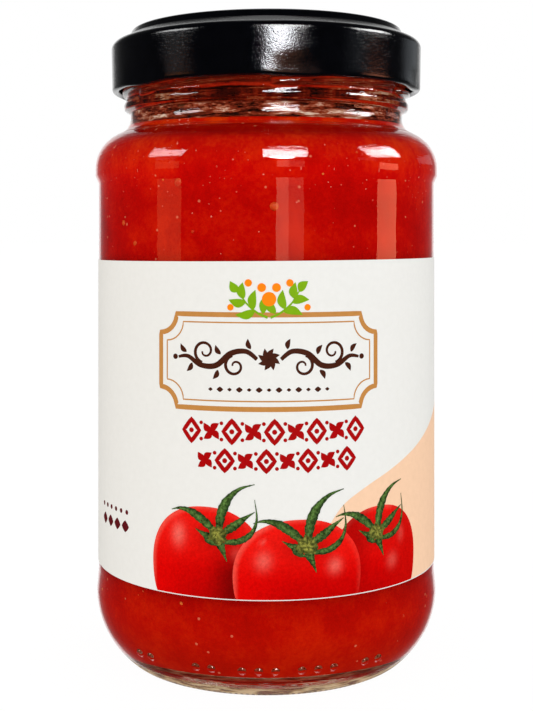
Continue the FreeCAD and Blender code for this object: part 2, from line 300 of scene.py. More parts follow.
def passata_material():
    """Wet tomato pulp against the glass: red, browner towards the heel, finely mottled and specked, with
    painted shade in a band under the neck and a painted highlight line at its top edge.
    """
    material, tree = new_material("tomato passata")
    place = place_on(tree)
    up = add(tree, "SeparateXYZ", Vector=place).outputs["Z"]
    fine = noise_at(tree, place, 1100.0, 3.0, 0.7)
    broad = noise_at(tree, place, 70.0, 5.0, 0.65)
    mottle = maths(tree, "MULTIPLY_ADD", fine, 0.35, product(tree, broad, 0.9))
    red = ramp(tree, mottle, [(0.40, (0.37, 0.0010, 0.0004)), (0.60, (0.50, 0.0020, 0.0006)),
                              (0.78, (0.62, 0.012, 0.0012))])
    # The height tones carry painted shade in a band under the neck and a painted highlight line at the top
    # edge.
    toned_with_painted_light = mix_colour(tree, 1.0, red, ramp(tree, maths(tree, "DIVIDE", up, TONE_SPAN), TONES_AND_PAINTED_LIGHT), "MULTIPLY")
    low = product(tree, fade_out(tree, up, HEEL_FADE), 0.35)
    heel = mix_colour(tree, low, toned_with_painted_light, (0.42, 0.013, 0.001, 1))
    cells = add(tree, "TexVoronoi", Vector=place, Scale=420.0, Randomness=1.0)
    cell_red = add(tree, "SeparateColor", Color=cells.outputs["Color"]).outputs[0]
    chosen = maths(tree, "GREATER_THAN", cell_red, 0.78)
    near = maths(tree, "LESS_THAN", cells.outputs["Distance"], 0.13)
    speck = product(tree, product(tree, chosen, near), 0.5)
    colour = mix_colour(tree, speck, heel, (0.75, 0.22, 0.12, 1))
    return finish_material(material, surface(tree, colour, 0.5, 1.35, Specular_IOR_Level=0.0,
                                             Normal=relief(tree, fine, 0.3, 0.0002)))


def smear_material():
    """Drying pulp: brown and tan patches, a darker collar, a red tide line, and streaks under the cap."""
    material, tree = new_material("pulp smear")
    place = place_on(tree)
    drawn = drawn_out(tree, place, 4)
    fine = noise_at(tree, drawn, 800.0, 3.0, 0.7)
    broad = noise_at(tree, drawn, 140.0, 4.0, 0.6)
    blend = maths(tree, "MULTIPLY_ADD", fine, 0.45, product(tree, broad, 0.8))
    lines = noise_at(tree, drawn_out(tree, place, 14), 75.0, 4.0, 0.65)
    lined = maths(tree, "MULTIPLY_ADD", fine, 0.22, product(tree, lines, 0.85))
    patches = ramp(tree, blend, [(0.50, (0.020, 0.004, 0.002)), (0.58, (0.075, 0.010, 0.004)),
                                 (0.65, (0.24, 0.026, 0.010)), (0.71, (0.40, 0.12, 0.060)),
                                 (0.79, (0.78, 0.60, 0.48))])
    streaks = ramp(tree, lined, [(0.38, (0.045, 0.004, 0.002)), (0.50, (0.13, 0.010, 0.003)),
                                 (0.58, (0.36, 0.014, 0.004)), (0.66, (0.42, 0.090, 0.030))])
    tide = ramp(tree, blend, [(0.45, (0.36, 0.003, 0.002)), (0.75, (0.62, 0.030, 0.006))])
    dark = ramp(tree, lined, [(0.42, (0.012, 0.002, 0.001)), (0.51, (0.050, 0.004, 0.002)),
                              (0.57, (0.22, 0.012, 0.003)), (0.63, (0.36, 0.10, 0.035)),
                              (0.70, (0.60, 0.40, 0.28))])
    up = add(tree, "SeparateXYZ", Vector=place).outputs["Z"]
    wander = maths(tree, "MULTIPLY_ADD", noise_at(tree, place, 60.0, 1.0), 0.0016, up)
    colour = mix_colour(tree, fade_in(tree, wander, 0.1334, 0.0008), patches, dark)
    colour = mix_colour(tree, fade_in(tree, wander, 0.1358, 0.0004), colour, tide)
    colour = mix_colour(tree, fade_in(tree, wander, 0.1368, 0.0006), colour, streaks)
    film = surface(tree, colour, 0.35, 1.4, Specular_IOR_Level=0.0, Normal=relief(tree, blend, 0.8, 0.0003))
    clear = add(tree, "BsdfTransparent", Color=(0.80, 0.45, 0.30, 1))
    cover = ramp(tree, blend, [(0.44, (0.50, 0.50, 0.50)), (0.55, (0.90, 0.90, 0.90)), (0.65, (1, 1, 1))])
    return finish_material(material, add(tree, "MixShader", i0=cover, i1=clear.outputs[0],
                                         i2=film.outputs[0]))


def fleck_material(name, darkest, middle, palest):
    """Bits in the pulp, their colour changing from bit to bit."""
    material, tree = new_material(name)
    broad = noise_at(tree, place_on(tree), 260.0, 1.0)
    colour = ramp(tree, broad, [(0.35, darkest), (0.5, middle), (0.65, palest)])
    return finish_material(material, surface(tree, colour, 0.4, 1.4, Specular_IOR_Level=0.1))


def lacquer_material():
    """Black lacquer on tinplate with an orange-peel surface."""
    material, tree = new_material("black lacquer")
    place = place_on(tree)
    peel = noise_at(tree, place, 2600.0, 2.0, 0.6)
    dust = noise_at(tree, place, 300.0, 2.0)
    rough = maths(tree, "MULTIPLY_ADD", dust, 0.04, 0.05)
    black = ramp(tree, dust, [(0.3, (0.0005, 0.0006, 0.0012)), (0.8, (0.0012, 0.0013, 0.0022))])
    lacquer = surface(tree, black, rough, 1.5, Normal=relief(tree, peel, 0.6, 0.00006))
    return finish_material(material, lacquer)


def paper_material(name, colour, other, roughness=0.5, gloss=0.06):
    """Coated paper or ink on it: a faint fibre grain in colour and surface."""
    material, tree = new_material(name)
    fibre = noise_at(tree, place_on(tree), 700.0, 4.0, 0.6)
    tone = ramp(tree, fibre, [(0.3, other), (0.7, colour)])
    return finish_material(material, surface(tree, tone, roughness, 1.45, Specular_IOR_Level=gloss,
                                             Normal=relief(tree, fibre, 0.15, 0.00005)))


# ---------------------------------------------------------------- glass

THREADS = 6
THREAD_START, THREAD_SPAN, THREAD_RISE = 3.0, 56.0, 1.7
THREAD_LOW, THREAD_HALF, THREAD_OUT = 136.35, 0.95, 1.1
PIP_HEIGHT, PIP_RADIUS, PIP_OUT, PIP_STEP = 7.7, 0.98, 0.55, 5.25
PIP_GROUPS = ((-45.5, 2), (-22.7, 2), (-7.6, 3), (11.2, 3), (33.2, 2))
PIP_ANGLES = [first + number * PIP_STEP for first, count in PIP_GROUPS for number in range(count)]
HEEL_REACH = 40.03

HEEL_RADIUS, BEAD_RADIUS, NECK_RADIUS, FINISH_RADIUS = 41.85, 42.24, 33.68, 34.55
NECK_BORE = 30.26
OUTSIDE = [
    (0, 4.2, 0, 3.0), (15, 3.3, 30), (29.5, 0.75, 1.5), (30.8, 0, 0.6), (33.89, 0, 3.0),
    (HEEL_RADIUS, 6.70, 20.0), (HEEL_RADIUS, 16.2, 3.0), (PANEL_RADIUS, 20.8, 3.0, 4.0),
    (PANEL_RADIUS, 115.0, 1.2), (BEAD_RADIUS, 116.8, 1.2), (BEAD_RADIUS, 124.92, 9.3),
    (NECK_RADIUS, 128.18, 4.0), (NECK_RADIUS, 132.2, 0.3), (34.15, 132.5, 0.15), (35.12, 133.0, 0.5),
    (35.3, 134.2, 1.2), (FINISH_RADIUS, 135.7, 0.3, 0.16), (FINISH_RADIUS, 140.2, 0.1, 2.0),
    (FINISH_RADIUS, RIM_HEIGHT, 1.3), (32.8, RIM_HEIGHT, 0.2),
]
INSIDE = [
    (32.8, RIM_HEIGHT, 0.2), (31.1, RIM_HEIGHT, 1.3), (NECK_BORE, 125.6, 7.4), (38.42, 122.26, 5.45),
    (38.5, 114.0, 2.0), (INNER_RADIUS, 104.0, 2.0, 4.0), (INNER_RADIUS, 5.0, 14.0, 4.0), (24.0, 5.0, 3.0),
    (0, 7.4, 0),
]


def thread_bulge(angle, height):
    """How far a thread stands out of the finish at an angle and a height."""
    bulge = 0
    for number in range(THREADS):
        along = (angle - THREAD_START - 360 / THREADS * number + 540) % 360 - 180
        share = along / THREAD_SPAN
        if -0.08 < share < 1.08:
            middle = THREAD_LOW + THREAD_RISE * share
            across = (height - middle) / THREAD_HALF
            ends = smooth(-0.06, 0.04, share) * (1 - smooth(0.94, 1.06, share))
            if abs(across) < 1:
                bulge = max(bulge, THREAD_OUT * ends * (1 - across**4) ** 1.5)
    return bulge


def pip_bulge(angle, height):
    """How far a moulded pip stands out of the heel."""
    for middle in PIP_ANGLES:
        aside = math.radians(angle - middle) * HEEL_REACH
        up = (height - PIP_HEIGHT) * 1.15
        distance = math.hypot(aside, up) / PIP_RADIUS
        if distance < 1:
            return PIP_OUT * math.sqrt(1 - distance**2)
    return 0


THREAD_ZONE, PIP_ZONE, DENSE_ZONE = (135.0, 141.0), (6.5, 8.9), (6.6, 8.9)
UNEVENNESS = 0.05


def glass_shift(angle, radius, height):
    """Threads, pips, and elsewhere on the outside a slight unevenness inwards."""
    if THREAD_ZONE[0] < height < THREAD_ZONE[1] and radius > 34.3:
        return thread_bulge(angle, height), 0
    if PIP_ZONE[0] < height < PIP_ZONE[1] and radius > 37:
        out = pip_bulge(angle, height)
        return out * 0.9, -out * 0.4
    if radius > 33:
        turned = math.radians(angle)
        spot = Vector((math.cos(turned) * 1.6, math.sin(turned) * 1.6, height / 26))
        return -UNEVENNESS * abs(noise.noise(spot)), 0
    return 0, 0


def glass_angles():
    """Even steps round the jar, closer at the moulded pips."""
    angles = set(even_angles(288))
    for middle in PIP_ANGLES:
        angles |= {round(middle + step * 0.16, 3) for step in range(-10, 11)}
    kept = []
    for angle in sorted(angles):
        if not kept or angle - kept[-1] > 0.05:
            kept.append(angle)
    return kept


def between(here, after, share):
    return (here[0] + (after[0] - here[0]) * share, here[1] + (after[1] - here[1]) * share)


def make_glass():
    """The jar, its outline divided more closely at the pips."""
    outline = rounded(OUTSIDE, 0.45)
    fine = []
    for here, after in zip(outline, outline[1:]):
        fine.append(here)
        if here[0] > 38 and DENSE_ZONE[0] < here[1] < DENSE_ZONE[1]:
            fine += [between(here, after, share) for share in (0.33, 0.67)]
    fine.append(outline[-1])
    line = fine + rounded(INSIDE, 0.9)[1:]
    piece = turned_piece("jar_wall", line, glass_angles(), glass_material(), glass_shift)
    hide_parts("jar_glass")
    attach(piece, "root")


# ---------------------------------------------------------------- contents

INTO_WALL = 0.3
SMEAR_TOP = 149.0


def wall_radius(line, height):
    """Radius of an outline at a height, between its points."""
    for (here, low), (after, high) in zip(line, line[1:]):
        if min(low, high) <= height <= max(low, high) and abs(high - low) > 1e-6:
            return here + (after - here) * (height - low) / (high - low)
    return line[-1][0]


def make_contents():
    """The passata, reaching just into the glass so that no air shows between them."""
    inside = rounded(INSIDE, 0.7)
    below = [(radius + INTO_WALL, height) for radius, height in reversed(inside)
             if radius > 20 and 6.0 < height < FILL_HEIGHT]
    edge = wall_radius(inside, FILL_HEIGHT)
    floor = [(0, 7.1), (10, 6.6), (20, 5.2), (25, 4.8)]
    top = [(edge + INTO_WALL, FILL_HEIGHT + 0.1), (edge - 0.5, FILL_HEIGHT - 0.15),
           (edge - 2.0, FILL_HEIGHT - 0.3), (0, FILL_HEIGHT - 0.3)]
    piece = turned_piece("passata", floor + below + top, even_angles(180), passata_material())
    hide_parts("tomato_passata")
    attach(piece, "root")


def make_smear():
    """The film of pulp left on the inside of the neck when the jar was filled."""
    wall = [(radius, height) for radius, height in rounded(INSIDE, 0.5)
            if FILL_HEIGHT - 0.4 < height < SMEAR_TOP and radius < 34]
    wall.sort(key=lambda point: point[1])
    outline = [(radius + 0.1, height) for radius, height in wall]
    outline += [(radius - 0.25, height) for radius, height in reversed(wall)]
    piece = turned_piece("neck_smear", outline, even_angles(144), smear_material(), closed=True)
    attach(piece, "root")


def lump(vertices, faces, middle, across, up, size, draw):
    """A small rounded bit, flattened against the glass."""
    first = len(vertices)
    rings, sides = 4, 7
    out = across.cross(up)
    wobble = [draw.uniform(0.75, 1.25) for _ in range(sides)]
    vertices.append(tuple(middle + up * size))
    for ring in range(1, rings):
        polar = math.pi * ring / rings
        for side in range(sides):
            turned = 2 * math.pi * side / sides
            width = math.sin(polar) * size * wobble[side]
            place = across * (width * math.cos(turned)) + out * (width * 0.35 * math.sin(turned))
            vertices.append(tuple(middle + place + up * (math.cos(polar) * size)))
    vertices.append(tuple(middle - up * size))
    last = len(vertices) - 1
    for side in range(sides):
        after = (side + 1) % sides
        faces.append((first, first + 1 + side, first + 1 + after))
        for ring in range(rings - 2):
            low = first + 1 + ring * sides
            faces.append((low + side, low + sides + side, low + sides + after, low + after))
        low = first + 1 + (rings - 2) * sides
        faces.append((low + side, last, low + after))


def make_bits(name, seed, count, spans, sizes, material):
    """Bits in the passata, pressed against the glass at heights that take turns among the spans."""
    draw = random.Random(seed)
    inside = rounded(INSIDE, 0.9)
    inside.sort(key=lambda point: point[1])
    upright = [point for point in inside if point[0] > 30.0 and point[1] < FILL_HEIGHT]
    vertices, faces = [], []
    for number in range(count):
        height = draw.uniform(*spans[number % len(spans)])
        angle = math.radians(draw.uniform(-180, 180))
        radius = wall_radius(upright, height) + INTO_WALL
        outward = Vector((math.sin(angle), -math.cos(angle), 0))
        middle = (outward * radius + Vector((0, 0, height))) * MM
        tilt = draw.uniform(0, math.pi)
        sideways = Vector((math.cos(angle), math.sin(angle), 0))
        across = sideways * math.cos(tilt) + Vector((0, 0, 1)) * math.sin(tilt)
        up = across.cross(outward)
        size = draw.choice(sizes)
        lump(vertices, faces, middle, across, up, size * MM, draw)
    piece = new_piece(name, vertices, faces, material, rounded_look=True)
    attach(piece, "root")


UPPER, LOWER, CROWDED = (98, 121), (12, 23), (111, 122)


def make_flecks():
    """Seeds and bits of skin all over the clear bands, and fine pale bubbles near the shoulder."""
    seeds = fleck_material("seed and skin", (0.55, 0.015, 0.003), (0.62, 0.060, 0.006), (0.75, 0.20, 0.03))
    make_bits("pulp_flecks", 58, 40, (UPPER, LOWER), (0.2, 0.25, 0.3, 0.4, 0.65, 0.3, 1.0), seeds)
    bubbles = fleck_material("fine bubble", (0.60, 0.020, 0.010), (0.70, 0.080, 0.05), (0.80, 0.24, 0.18))
    make_bits("pulp_bubbles", 21, 300, (CROWDED, CROWDED, UPPER), (0.10, 0.12, 0.15, 0.2), bubbles)


# ---------------------------------------------------------------- cap

LUG_ANGLE, LUG_HALF = 11.0, 13.0
CAP_FOOT, WELL_HEIGHT = 137.6, 150.5
CAP_OUTSIDE = [
    (37.25, CAP_FOOT, 0), (38.15, CAP_FOOT, 0.88), (38.17, 139.3, 0.4, 1.2), (38.38, 149.9, 1.9),
    (35.5, 150.05, 0.5), (34.0, 151.3, 0.8), (33.3, LID_HEIGHT, 0.9), (31.6, LID_HEIGHT, 0.6),
    (30.7, WELL_HEIGHT, 0.6, 2.5), (15.0, WELL_HEIGHT, 0.4), (13.6, 150.95, 0.5, 2.5), (0, 151.4, 0),
]
CAP_INSIDE = [
    (0, 151.0, 0, 4.0), (13.6, 150.55, 0.5), (15.4, 150.1, 0.4, 4.0), (31.0, 150.1, 0.3),
    (31.4, RIM_HEIGHT, 0.2), (33.4, RIM_HEIGHT, 0.2), (34.4, 150.65, 0.2), (35.1, 149.75, 0.2),
    (37.9, 149.4, 1.4), (37.75, 139.5, 0.1), (37.2, 139.4, 0.1), (36.35, 139.3, 0.8),
    (36.35, CAP_FOOT, 0.88), (37.25, CAP_FOOT, 0),
]


def lug_press(angle):
    """1 where the skirt is pressed in at the middle of a lug, 0 between lugs."""
    along = (angle - LUG_ANGLE + 390) % 60 - 30
    return 1 - smooth(0.15, 1.0, abs(along) / LUG_HALF)


CAP_TILT = 0.3
RING_REACH = 33.6
DENT_OUTER, DENT_INNER, DENT_UP = 0.45, 0.5, 0.35
DENT_TOP = 143.5


def cap_shift(angle, radius, height):
    """Lug dents, and the cap's slight tilt: its left edge sits lower."""
    press = lug_press(angle)
    lean = math.tan(math.radians(CAP_TILT)) * (radius * math.sin(math.radians(angle)) - RING_REACH)
    if height > DENT_TOP or radius < 34:
        return 0, lean
    fade = 1 - smooth(138.2, DENT_TOP, height)
    depth = DENT_INNER if radius < 37.2 else DENT_OUTER
    return -depth * press * fade, lean - DENT_UP * press * (1 - smooth(138.6, 140.5, height))


def make_cap():
    line = rounded(CAP_OUTSIDE, 0.2) + rounded(CAP_INSIDE, 0.25)[:-1]
    piece = turned_piece("cap", line, even_angles(360), lacquer_material(), cap_shift)
    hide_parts("lid")
    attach(piece, "root")


# ---------------------------------------------------------------- label

SEAM = 7.0
LABEL_SKEW = 0.3


def make_label():
    """The paper, its foot just above the model's and its upper edge a little askew."""
    count = 360
    span = 360 - SEAM
    low, high = LABEL_LOW.z + 0.1, LABEL_HIGH.z
    inner = PANEL_RADIUS - 0.06
    outline = [(inner, low), (LABEL_RADIUS, low), (LABEL_RADIUS, high), (inner, high)]
    vertices, faces = [], []
    for number in range(count + 1):
        turned = math.radians(-span / 2 + span * number / count)
        lean = LABEL_SKEW * math.sin(turned)
        for radius, height in outline:
            raised = height + (lean if height == high else 0)
            vertices.append((radius * MM * math.sin(turned), -radius * MM * math.cos(turned), raised * MM))
    for first in range(0, count * 4, 4):
        for side in range(4):
            after = (side + 1) % 4
            faces.append((first + side, first + after, first + 4 + after, first + 4 + side))
    faces += [(0, 1, 2, 3), tuple(count * 4 + corner for corner in (3, 2, 1, 0))]
    paper = paper_material("label paper", (0.778, 0.772, 0.741), (0.754, 0.748, 0.716))
    piece = new_piece("label_paper", vertices, faces, paper)
    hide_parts("label")
    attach(piece, "root")


# ---------------------------------------------------------------- print on the label

# Flat shapes are grids of (across, height) on the unrolled label; across is 0 at the front and grows to the
# right. Each is one closed leaf that stands a hair above the paper, or above the ink printed under it.

FIRST_INK, NEXT_INK, INK_SINK = 0.02, 0.02, 0.03
LABEL_FOOT = LABEL_LOW.z + 0.28


def on_label(point, lift):
    turned = point[0] / LABEL_RADIUS
    radius = (LABEL_RADIUS + lift) * MM
    return (radius * math.sin(turned), -radius * math.cos(turned), point[1] * MM)


class Ink:
    """Gathers printed shapes of one ink layer into one piece."""

    def __init__(self, name, layer, material):
        self.name, self.layer, self.material = name, layer, material
        self.vertices, self.faces, self.colours = [], [], []

    def grid(self, rows, closed=False, colours=None):
        """Add a shape given as rows of points, all of one length; closed joins the last row to the first."""
        across = len(rows[0])
        high = FIRST_INK + NEXT_INK * self.layer
        first = len(self.vertices)
        count = len(rows) * across
        for lift in (high, -INK_SINK):
            for number, row in enumerate(rows):
                self.vertices += [on_label(point, lift) for point in row]
                if colours:
                    self.colours += colours[number]
        steps = len(rows) if closed else len(rows) - 1
        for number in range(steps):
            low = first + number * across
            after = first + (number + 1) % len(rows) * across
            for place in range(across - 1):
                face = (low + place, low + place + 1, after + place + 1, after + place)
                self.faces.append(face)
                self.faces.append(tuple(corner + count for corner in reversed(face)))
            for place in (0, across - 1):
                edge = (low + place, after + place)
                self.faces.append((edge[0], edge[1], edge[1] + count, edge[0] + count))
        if not closed:
            for row in (0, len(rows) - 1):
                low = first + row * across
                for place in range(across - 1):
                    edge = (low + place, low + place + 1)
                    self.faces.append((edge[0], edge[1], edge[1] + count, edge[0] + count))

    def make(self):
        piece = new_piece(self.name, self.vertices, self.faces, self.material)
        if self.colours:
            layer = piece.data.color_attributes.new("ink", "FLOAT_COLOR", "POINT")
            for spot, colour in zip(layer.data, self.colours):
                spot.color = (*colour, 1)
        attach(piece, "root")

    def stroke(self, points, width, closed=False, taper=None):
        """A line of a width along points; taper gives the width's share at a place from 0 to 1."""
        rows = []
        count = len(points)
        for number, (across, height) in enumerate(points):
            before = points[number - 1] if closed or number else points[0]
            after = points[(number + 1) % count] if closed or number < count - 1 else points[-1]
            run = Vector((after[0] - before[0], after[1] - before[1])).normalized()
            share = taper(number / (count - 1)) if taper else 1
            half = max(width * share / 2, 0.04)
            side = Vector((-run.y, run.x)) * half
            rows.append([(across + side.x * way, height + side.y * way) for way in (1, 0, -1)])
        self.grid(rows, closed)

    def disc(self, across, height, half_width, half_height=None, power=2.0):
        """A filled oval, or with a power under 2 a lozenge."""
        half_height = half_height or half_width
        rows = []
        count = max(10, round(half_width * 8))
        for number in range(count + 1):
            side = -math.cos(math.pi * number / count)
            top = max(0.02, (1 - abs(side) ** power) ** (1 / power))
            rows.append([(across + side * half_width, height + share * top * half_height)
                         for share in (-1, 0, 1)])
        self.grid(rows)

    def leaf(self, across, height, length, width, turn):
        """A pointed leaf from its foot."""
        rows = []
        cos, sin = math.cos(math.radians(turn)), math.sin(math.radians(turn))
        for number in range(13):
            share = number / 12
            half = max(0.03, width / 2 * math.sin(math.pi * share ** 0.8) ** 0.9)
            bend = 0.12 * length * math.sin(math.pi * share)
            row = []
            for side in (-1, 0, 1):
                u, v = share * length, side * half + bend
                row.append((across + u * cos - v * sin, height + u * sin + v * cos))
            rows.append(row)
        self.grid(rows)


def smooth_path(corners, pieces=8):
    """A curve through the corners, closely divided (Catmull-Rom)."""
    path = []
    run = [corners[0]] + list(corners) + [corners[-1]]
    for number in range(1, len(run) - 2):
        before, here, after, beyond = (Vector(point) for point in run[number - 1:number + 3])
        for piece in range(pieces):
            t = piece / pieces
            square, cube = 2 * before - 5 * here + 4 * after - beyond, 3 * here - before - 3 * after + beyond
            point = 0.5 * (2 * here + (after - before) * t + square * t**2 + cube * t**3)
            path.append((point.x, point.y))
    path.append(tuple(corners[-1]))
    return path


def ink_material(name, colour, other):
    return paper_material(name, colour, other, 0.45, 0.02)


def shaded_ink_material(name, contrast):
    """Ink whose colour is drawn on the shape itself, with the paper's grain in it."""
    material, tree = new_material(name)
    drawn = add(tree, "Attribute", {"attribute_name": "ink"})
    grain = noise_at(tree, place_on(tree), 1500.0, 3.0, 0.7)
    tone = ramp(tree, grain, [(0.35, [1 - contrast] * 3), (0.65, [1 + contrast] * 3)])
    colour = mix_colour(tree, 1.0, drawn.outputs["Color"], tone, "MULTIPLY")
    return finish_material(material, surface(tree, colour, 0.45, 1.45, Specular_IOR_Level=0.0))


# The peach field: the height of its upper edge along the label, from the front round to the seam.
HILL = ((13.2, 38.0), (17.3, 43.3), (23.5, 46.9), (30.7, 49.8), (39.8, 53.4), (46.9, 56.5), (56.0, 60.6),
        (68.0, 64.5), (84.0, 66.0), (102.0, 62.5), (118.0, 54.0), (127.9, 44.0))
FIELD_FOOT = LABEL_FOOT + 0.05


def print_field():
    rows = [[(across, FIELD_FOOT), (across, (LABEL_FOOT + height) / 2), (across, height)]
            for across, height in smooth_path(HILL)]
    ink = Ink("print_peach", 0, ink_material("peach ink", (0.87, 0.58, 0.39), (0.83, 0.55, 0.365)))
    ink.grid(rows)
    ink.make()


# Each fruit: middle, height of its widest place, half width, and how far its top stands above that place.
FRUITS = ((-13.6, 30.6, 13.4, 12.7), (27.0, 30.2, 12.5, 12.0), (7.2, 28.7, 14.5, 12.1))
FRUIT_LAYERS = (1, 1, 2)
CALYX = ((-10.7, 37.4), (26.2, 36.4), (8.8, 35.2))
GLINTS = (
    ((-20.0, 36.8, 2.2, 3.4, 0.55), (-6.5, 33.5, 1.6, 2.2, 0.15)),
    ((31.0, 29.5, 2.2, 2.4, 0.25), (34.0, 35.0, 1.4, 2.5, 0.2)),
    ((-0.6, 32.0, 2.4, 2.8, 0.4), (15.3, 30.4, 2.2, 2.4, 0.45), (-0.9, 36.1, 0.8, 0.8, 0.4)),
)


def fruit_colour(number, across, height):
    """Red of a printed tomato: pale rim at the left, darker to the lower right, with soft glints."""
    middle, wide, half, rise = FRUITS[number]
    u = (across - middle) / half
    v = (height - wide) / rise
    edge = min(1, math.hypot(u, max(v, 0) * 0.98))
    colour = Vector((0.64, 0.0016, 0.0012))
    colour = colour.lerp(Vector((0.80, 0.010, 0.006)), smooth(-0.2, 0.7, v) * 0.8)
    colour = colour.lerp(Vector((0.40, 0.0012, 0.001)), smooth(-0.9, -0.1, u) * smooth(0.4, -0.6, v) * 0.8)
    rim = smooth(0.90, 1.0, edge)
    colour = colour.lerp(Vector((0.80, 0.10, 0.07)), rim * (0.65 if u < 0.3 else 0.15))
    if number == 0:
        colour = colour.lerp(Vector((0.15, 0.001, 0.001)), smooth(-0.1, 0.5, u) * smooth(0.6, -0.2, v) * 0.9)
    if number == 1:
        colour = colour.lerp(Vector((0.33, 0.001, 0.001)), smooth(-0.05, -0.6, u) * 0.8)
        colour = colour.lerp(Vector((0.50, 0.003, 0.002)), smooth(0.1, 0.7, u) * 0.8)
    for place, level, wide_glint, tall_glint, strength in GLINTS[number]:
        distance = ((across - place) / wide_glint) ** 2 + ((height - level) / tall_glint) ** 2
        colour = colour.lerp(Vector((0.88, 0.22, 0.17)), strength * math.exp(-distance * 2.4))
    foot_across, foot_height = CALYX[number]
    distance = ((across - foot_across) / 5.0) ** 2 + ((height - foot_height) / 3.2) ** 2
    colour = colour.lerp(Vector((0.25, 0.002, 0.002)), 0.7 * math.exp(-distance))
    return tuple(colour)


def print_fruit(number):
    middle, wide, half, rise = FRUITS[number]
    rows, colours = [], []
    columns, levels = 44, 30
    for column in range(columns + 1):
        side = -math.cos(math.pi * column / columns) * 0.9995
        top = wide + rise * (1 - abs(side) ** 2.25) ** (1 / 2.1)
        bottom = max(FIELD_FOOT, wide - rise * 1.15 * (1 - abs(side) ** 2.4) ** (1 / 2.2))
        across = middle + half * side
        row = [(across, bottom + (top - bottom) * level / levels) for level in range(levels + 1)]
        rows.append(row)
        colours.append([fruit_colour(number, *point) for point in row])
    material = shaded_ink_material(f"tomato ink {number + 1}", 0.12)
    ink = Ink(f"print_tomato_{number + 1}", FRUIT_LAYERS[number], material)
    ink.grid(rows, colours=colours)
    ink.make()


# Sepals of one fruit, from the middle of its calyx: the curve and the width at its foot.
SEPALS = (
    (((-1.2, 1.2), (-3.6, 3.2), (-6.6, 4.9), (-9.4, 5.4), (-11.6, 4.9)), 1.7),
    (((0.4, 1.5), (0.9, 4.8), (2.5, 8.2), (5.2, 10.6), (8.6, 11.7)), 1.9),
    (((1.8, 0.8), (4.0, 2.2), (6.4, 4.0), (8.6, 5.4)), 1.7),
    (((1.6, -1.6), (5.0, -1.3), (7.9, 0.6), (9.1, 3.8), (8.6, 8.2)), 1.2),
    (((-1.5, -0.8), (-3.4, 0.0), (-5.4, 1.1)), 1.3),
    (((0.2, -1.2), (1.2, -3.4), (2.2, -6.0)), 1.6),
    (((-2.8, -0.2), (-1.6, -1.8), (0.6, -2.6)), 1.5),
)
SEPAL_SIZE = (0.95, 0.92, 1.0)


SEPAL_DARK, SEPAL_LIGHT = Vector((0.012, 0.030, 0.010)), Vector((0.085, 0.165, 0.035))
HUB_DARK, HUB_LIGHT = Vector((0.030, 0.045, 0.010)), Vector((0.42, 0.40, 0.07))


def sepal_rows(path, width):
    """The rows of one sepal, ragged at its edges, and their colours."""
    rows, colours = [], []
    draw = random.Random(len(path))
    count = len(path)
    for number, (across, height) in enumerate(path):
        before, after = path[max(0, number - 1)], path[min(count - 1, number + 1)]
        run = Vector((after[0] - before[0], after[1] - before[1])).normalized()
        share = number / (count - 1)
        belly = 0.75 + 0.5 * math.sin(math.pi * min(1, share * 1.4))
        half = width / 2 * max(0.1, belly * (1 - share ** 2.4)) * draw.uniform(0.86, 1.14)
        row, tones = [], []
        for side in (-1, -0.4, 0.25, 1):
            row.append((across - run.y * half * side, height + run.x * half * side))
            light = (1 - abs(side - 0.2)) * 0.9
            tones.append(tuple(SEPAL_DARK.lerp(SEPAL_LIGHT, max(0, light))))
        rows.append(row)
        colours.append(tones)
    return rows, colours


def print_sepals(number):
    across, height = CALYX[number]
    size = SEPAL_SIZE[number]
    ink = Ink(f"print_calyx_{number + 1}", 3, shaded_ink_material(f"calyx ink {number + 1}", 0.75))
    for corners, width in SEPALS:
        path = smooth_path([(across + u * size, height + v * size) for u, v in corners])
        rows, colours = sepal_rows(path, width * size)
        ink.grid(rows, colours=colours)
    ink.make()
    hub = Ink(f"print_hub_{number + 1}", 4, shaded_ink_material(f"hub ink {number + 1}", 0.6))
    draw = random.Random(7 + number)
    rows, colours = [], []
    sides = 22
    ragged = [draw.uniform(0.75, 1.2) for _ in range(sides)]
    for side in range(sides):
        turned = 2 * math.pi * side / sides
        row, tones = [], []
        for ring in range(5):
            reach = 2.5 * size * (0.01 + ragged[side] * ring / 4)
            row.append((across + math.cos(turned) * reach, height + math.sin(turned) * reach * 0.85))
            bright = draw.uniform(0.0, 1.0) * (1.0 - ring / 6)
            tones.append(tuple(HUB_DARK.lerp(HUB_LIGHT, bright)))
        rows.append(row)
        colours.append(tones)
    hub.grid(rows, closed=True, colours=colours)
    hub.make()


FRAME_MIDDLE, FRAME_HEIGHT = 0.6, 74.9
FRAME_HALF_WIDTH, FRAME_HALF_HEIGHT, FRAME_NOTCH = 25.3, 10.2, 4.2
SIDE_PIECES = 24


def frame_path(inset):
    """A plaque with hollow quarter-round corners."""
    half_width, half_height = FRAME_HALF_WIDTH - inset, FRAME_HALF_HEIGHT - inset
    arcs = []
    for right, up in ((1, 1), (-1, 1), (-1, -1), (1, -1)):
        arc = []
        for number in range(9):
            angle = math.pi / 2 * number / 8
            arc.append((right * (half_width - FRAME_NOTCH * math.cos(angle)),
                        up * (half_height - FRAME_NOTCH * math.sin(angle))))
        if right * up > 0:
            arc.reverse()
        arcs.append(arc)
    line = []
    for arc, following in zip(arcs, arcs[1:] + arcs[:1]):
        line += arc
        line += [between(arc[-1], following[0], piece / SIDE_PIECES) for piece in range(1, SIDE_PIECES)]
    return [(FRAME_MIDDLE + u, FRAME_HEIGHT + v) for u, v in line]


def mirrored(corners, height, mirror):
    """A curve through corners given from the frame's middle and a height, or its mirror image."""
    return smooth_path([(FRAME_MIDDLE + mirror * u, height + v) for u, v in corners])


def thinner(share):
    return 1 - 0.5 * share


def swelling(share):
    return 0.35 + 0.65 * math.sin(math.pi * (0.15 + 0.8 * share))


